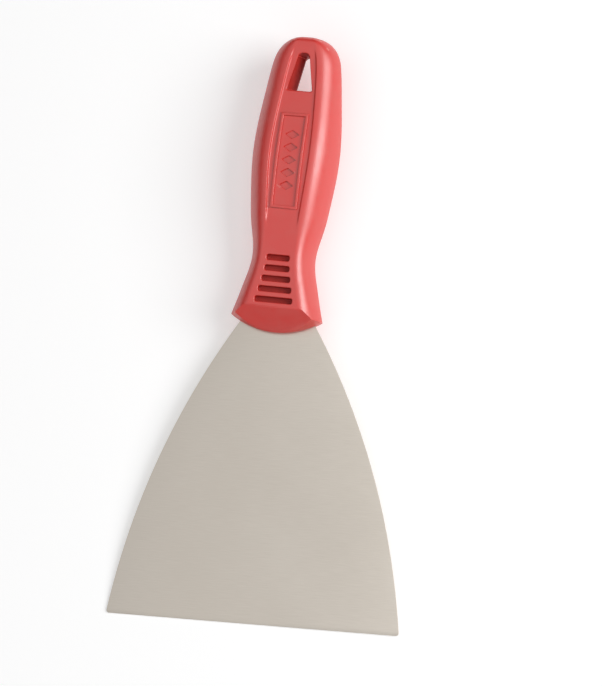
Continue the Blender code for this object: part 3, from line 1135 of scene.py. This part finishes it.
    def _mouth_lip(self) -> Piece:
        """Steep wedge along the mouth's arc, which leaves the lip as thin at its corners as in its middle.

        Returns:
            The cutter.
        """
        reach, deep = self.mouth_half_width * 1.1, self.bevel_from
        drop = self.lip_slope * deep
        low, high = (-reach, -deep, self.lip_height - drop), (reach, deep, self.bevel_height + drop)
        wedge = add_block("mouth_lip", low, high)
        with editing(wedge):
            pick(wedge, Picks.POINTS, lambda at: at.co.z < self.lip_height and at.co.y > 0.0)
            bpy.ops.transform.translate(value=(0.0, 0.0, 2.0 * drop))
            cut_rows(-reach, reach, self.lip_columns, 0)
            for x in each_row(wedge, 0):
                back = self.mouth_radius - math.sqrt(self.mouth_radius**2 - x**2) - self.mouth_dip
                bpy.ops.transform.translate(value=(0.0, back, 0.0))
        return wedge

    def _hole_half(self, y: float, rise: float) -> float:
        """Half the hang hole's width at y, at a rise above the seam, where it is narrowest."""
        seam = Profile(((0.0, self.hole_narrow / 2.0), (self.hole_length, self.hole_wide / 2.0)))
        return seam.at(self.length - self.hole_start - y) + self.hole_flare * rise

    def _hang_hole(self) -> Piece:
        """Cutter of the hang hole: a flared wedge with round corners, and a rim that follows the panel.

        Returns:
            The cutter.
        """
        top = self.length - self.hole_start
        bottom = top - self.hole_length
        centre = (top + bottom) / 2.0
        base, foot = self.floor(centre), -self.hole_overrun
        brim = base - self.hole_lip
        wide, narrow = self._hole_half(bottom, brim), self._hole_half(top, brim)
        cutter = add_block("hang_hole", (-wide, bottom, foot), (wide, top, brim))
        with editing(cutter):
            pick(cutter, Picks.POINTS, lambda point: point.co.y > centre)
            scale_at(top, narrow / wide)
            for end, radius in ((top, narrow * self.hole_top_roundness), (bottom, self.hole_corner)):
                pick(cutter, Picks.EDGES, lambda edge: upright(edge) and abs(middle(edge).y - end) < NEAR)
                bpy.ops.mesh.bevel(offset=radius, segments=self.corner_steps, affect="EDGES")
            for y in each_row(cutter, wanted=lambda point: point.co.z < 0.0):
                scale_at(y, self._hole_half(y, foot) / self._hole_half(y, brim))
            round_rim(cutter, centre, (2.0 * wide, self.hole_length), self.hole_lip)
            follow(cutter, lambda y: self.floor(y) - base)
        return cutter

    def _slot(self, number: int) -> Piece:
        """Cutter of one grip slot, with a rounded rim and a softened floor.

        Args:
            number: Its number, counted from the mouth.

        Returns:
            The cutter.
        """
        y = self.slot_first + self.slot_pitch * number
        reach = self.crest.at(self.length - y) - self.slot_margin
        half, top = self.slot_width / 2.0, self.face_height(self.length - y)
        low, high = (-reach, y - half, top - self.slot_depth), (reach, y + half, top - self.slot_lip)
        cutter = add_block(f"slot_{number + 1}", low, high)
        with editing(cutter):
            pick(cutter, Picks.EDGES, upright)
            bpy.ops.mesh.bevel(offset=self.slot_corner, segments=6, affect="EDGES")
            pick(cutter, Picks.FACES, lambda face: face.normal.z < -0.9)
            bpy.ops.mesh.bevel(offset=self.slot_lip * 0.7, segments=3, affect="EDGES")
            round_rim(cutter, y, (2.0 * reach, self.slot_width), self.slot_lip)
        return cutter

    def _badge_rim(self) -> Piece:
        """Raised rim round the badge field, which follows the panel.

        Returns:
            The rim, sunk into the panel by half its height.
        """
        low, high = self.length - self.badge_end, self.length - self.badge_start
        base, sink = self.floor((low + high) / 2.0), self.rim_height / 2.0
        reach, inner = self.badge_half_width, self.badge_half_width - self.rim_width
        rim = add_block("badge_rim", (-reach, low, base - sink), (reach, high, base + self.rim_height))
        field = (-inner, low + self.rim_width, 0.0), (inner, high - self.rim_width, 2.0 * base)
        combine(rim, "DIFFERENCE", add_block("badge_field", *field))
        with editing(rim):
            cut_rows(low, high, round((high - low) / self.row_pitch))
            follow(rim, lambda y: self.floor(y) - base)
        break_edges(rim, self.rim_break, 3, self.rim_break_over)
        return rim

    def _stud(self, number: int) -> Piece:
        """Cutter of one sunk lozenge of the badge field's plain pattern.

        Args:
            number: Its number, counted from the hang end.

        Returns:
            The cutter.
        """
        wide, long, deep = self.stud_size
        y = self.length - self.stud_first - self.stud_pitch * number
        place = (0.0, y, self.floor(y))
        bpy.ops.mesh.primitive_cylinder_add(vertices=4, radius=0.5, depth=1.0, location=place)
        cutter = fresh(f"lozenge_{number + 1}")
        cutter.scale = (wide, long, 2.0 * deep)
        settle(cutter)
        with editing(cutter):
            pick(cutter, Picks.EDGES, upright)
            bpy.ops.mesh.bevel(offset=deep * 0.7, segments=4, affect="EDGES")
            pick(cutter, Picks.FACES, lambda face: face.normal.z < -0.9)
            scale_at(y, *self.stud_taper)
        return cutter

    def shell(self, half: Piece, face: Face, blade: Blade) -> Piece:
        """One half with what is its own: the badge and pegs in front, or the pegs' sockets behind.

        Args:
            half: The common half, which is copied.
            face: Which half it becomes.
            blade: The blade that it closes on.

        Returns:
            The half.
        """
        shell = duplicate(half, f"handle_{face.word}_shell")
        if face is Face.FRONT:
            combine(shell, "UNION", self._badge_rim())
            combine(shell, "DIFFERENCE", *[self._stud(number) for number in range(self.stud_count)])
        else:
            with editing(shell):
                bpy.ops.mesh.select_all(action="SELECT")
                scale_at(0.0, up=face.value)
                bpy.ops.mesh.normals_make_consistent(inside=False)
        combine(shell, "DIFFERENCE", blade.seat(self.seat_clearance))
        room, operation = (0.0, "UNION") if face is Face.FRONT else (blade.peg_clearance, "DIFFERENCE")
        for place in self.peg_places(blade):
            peg = add_peg(place, blade.peg_radius + room, -self.peg_depth - room, self.peg_depth)
            combine(shell, operation, peg)
        return shell

    def _in_recess(self, face: bmesh.types.BMFace) -> bool:
        """Whether a face is a wall or floor inside the hang hole or a grip slot, below its rim.

        Args:
            face: A face of a half, in the tool's axes.

        Returns:
            True for such a face.
        """
        at = middle(face)
        depth = self.floor(at.y) - abs(at.z)
        top = self.length - self.hole_start
        if top - self.hole_length - NEAR < at.y < top + NEAR:
            inside = abs(at.x) < self._hole_half(at.y, abs(at.z)) + NEAR
            return inside and depth > self.hole_lip * 0.9 and abs(face.normal.z) < 0.9
        rank = round((at.y - self.slot_first) / self.slot_pitch)
        if 0 <= rank < self.slot_count:
            reach = self.crest.at(self.length - at.y) - self.slot_margin * 0.9
            near = abs(at.y - self.slot_first - rank * self.slot_pitch) < self.slot_width / 2.0 + NEAR
            return near and abs(at.x) < reach and self.slot_lip * 0.9 < depth < self.slot_depth * 1.1
        return False

    def peg_places(self, blade: Blade) -> list[tuple[float, float]]:
        """Places of all the pegs: through the tang, and past the hang hole."""
        past_hole = self.peg_wall + blade.peg_clearance + blade.peg_radius
        return [*blade.peg_places(), (0.0, self.length - self.hole_start - self.hole_length - past_hole)]

    def dress(self, shell: Piece, face: Face, matrix: Matrix) -> None:
        """Lays a half in place, with its finish and its body.

        Args:
            shell: The half, in the tool's axes.
            face: Which half it is.
            matrix: The tool's turn and place.
        """
        with editing(shell):
            bpy.ops.mesh.select_all(action="SELECT")
            bpy.ops.mesh.remove_doubles(threshold=HAIR)
            bpy.ops.mesh.normals_make_consistent(inside=False)
        for name, finish in (("red_plastic", MouldedPlastic), ("red_plastic_inside_painted_shade", RecessPaintedShadePlastic)):
            shell.data.materials.append(finish(f"{name}_{face.word}").material(matrix))
        # Walls and floors of the hang hole and slots take the darker plastic: painted shade.
        with editing(shell, Picks.FACES):
            pick(shell, Picks.FACES, self._in_recess)
            shell.active_material_index = 1
            bpy.ops.object.material_slot_assign()
        lay_down(shell, matrix)
        bpy.ops.object.shade_smooth_by_angle(angle=math.radians(SMOOTH_UNDER))
        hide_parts(f"handle_{face.word}")
        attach(shell, BODY)
        log.info("handle %s: %d faces", face.word, len(shell.data.polygons))


# ---- The studio ----


@dataclass(frozen=True)
class SoftLight:
    """A square soft light, placed by its bearing from the tool in the camera's own view."""

    name: str
    right: float
    up: float
    towards: float
    size: float
    watts: float


@dataclass
class Studio:
    """Pale floor, soft lights and a long-lens camera that looks down on the tool."""

    yaw: float = 14.0
    pitch: float = 4.5
    roll: float = 6.85
    distance: float = 1.50
    frame_width: float = 0.2007
    aim: tuple[float, float] = (0.00857, -0.0042)
    sensor: float = 36.0
    floor_size: float = 12.0
    floor_colour: Colour = (0.78, 0.78, 0.78, 1.0)
    floor_glow: float = 0.36
    sky: float = 0.10
    lights: tuple[SoftLight, ...] = (
        SoftLight("key_light", 0.84, 0.26, 0.94, 0.80, 12.5),
        SoftLight("top_light", -0.78, 0.25, 1.62, 3.1, 19.0),
        SoftLight("fill_light", 0.0, -1.25, 0.75, 1.0, 3.2),
    )

    def view_axes(self, matrix: Matrix) -> Matrix:
        """Axes of the camera's view: right, up and towards the camera, as the columns of a matrix.

        Args:
            matrix: The tool's turn and place.

        Returns:
            The turn from the view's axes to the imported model's.
        """
        yaw, pitch = math.radians(self.yaw), math.radians(self.pitch)
        level = math.cos(pitch)
        towards = Vector((math.sin(yaw) * level, -math.sin(pitch), math.cos(yaw) * level))
        right = Vector((0.0, 1.0, 0.0)).cross(towards).normalized()
        upright_view = Matrix((right, towards.cross(right), towards)).transposed()
        rolled = upright_view @ Matrix.Rotation(math.radians(self.roll), 3, "Z")
        return matrix.to_3x3() @ rolled

    def build(self, matrix: Matrix) -> None:
        """Sets up the floor, the lights and the camera.

        Args:
            matrix: The tool's turn and place.
        """
        axes = self.view_axes(matrix)
        aim = matrix.translation + axes @ Vector((self.aim[0], self.aim[1], 0.0))
        self._floor()
        self._sky()
        for light in self.lights:
            self._light(light, axes, aim)
        self._camera(axes, aim)
        bpy.context.scene.view_settings.view_transform = "Standard"

    def _floor(self) -> None:
        """Plain pale floor that the tool lies on."""
        bpy.ops.mesh.primitive_plane_add(size=self.floor_size, location=(0.0, 0.0, CAD_BOX[0][2]))
        floor = fresh("floor")
        recipe = Recipe("pale_floor")
        glow = {"Emission_Color": WHITE, "Emission_Strength": self.floor_glow}
        dull = {"Roughness": 0.9, "Specular_IOR_Level": 0.1}
        pale = recipe.finish(Base_Color=self.floor_colour, **dull, **glow)
        floor.data.materials.append(pale)

    def _sky(self) -> None:
        """Even pale light from all round."""
        world = bpy.data.worlds.new("studio_air")
        world.use_nodes = True
        background = world.node_tree.nodes["Background"]
        background.inputs["Color"].default_value = WHITE
        background.inputs["Strength"].default_value = self.sky
        bpy.context.scene.world = world

    def _light(self, light: SoftLight, axes: Matrix, aim: Vector) -> None:
        """Hangs one soft light, which faces the tool.

        Args:
            light: The light.
            axes: From the view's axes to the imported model's.
            aim: The point that it faces.
        """
        away = axes @ Vector((light.right, light.up, light.towards))
        bpy.ops.object.light_add(type="AREA", location=aim + away)
        lamp = fresh(light.name)
        lamp.data.size = light.size
        lamp.data.energy = light.watts
        lamp.rotation_euler = away.to_track_quat("Z", "Y").to_euler()

    def _camera(self, axes: Matrix, aim: Vector) -> None:
        """Places the long-lens camera.

        Args:
            axes: From the view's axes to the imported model's.
            aim: The middle of its view.
        """
        bpy.ops.object.camera_add(location=aim + axes @ Vector((0.0, 0.0, self.distance)))
        camera = fresh("camera")
        camera.rotation_euler = axes.to_euler()
        camera.data.sensor_width = self.sensor
        camera.data.sensor_fit = "HORIZONTAL"
        camera.data.lens = self.sensor * self.distance / self.frame_width
        camera.data.clip_start = 0.05
        bpy.context.scene.camera = camera


def main() -> None:
    """Builds the knife and its studio."""
    logging.basicConfig(level=logging.INFO, format="%(name)s: %(message)s")
    blade, handle = Blade(), Handle()
    matrix = ToolAxes().matrix(blade)
    blade.dress(blade.build(), matrix)
    half = handle.half()
    for face in Face:
        handle.dress(handle.shell(half, face, blade), face, matrix)
    bpy.data.objects.remove(half, do_unlink=True)
    Studio().build(matrix)


if __name__ == "__main__":
    main()
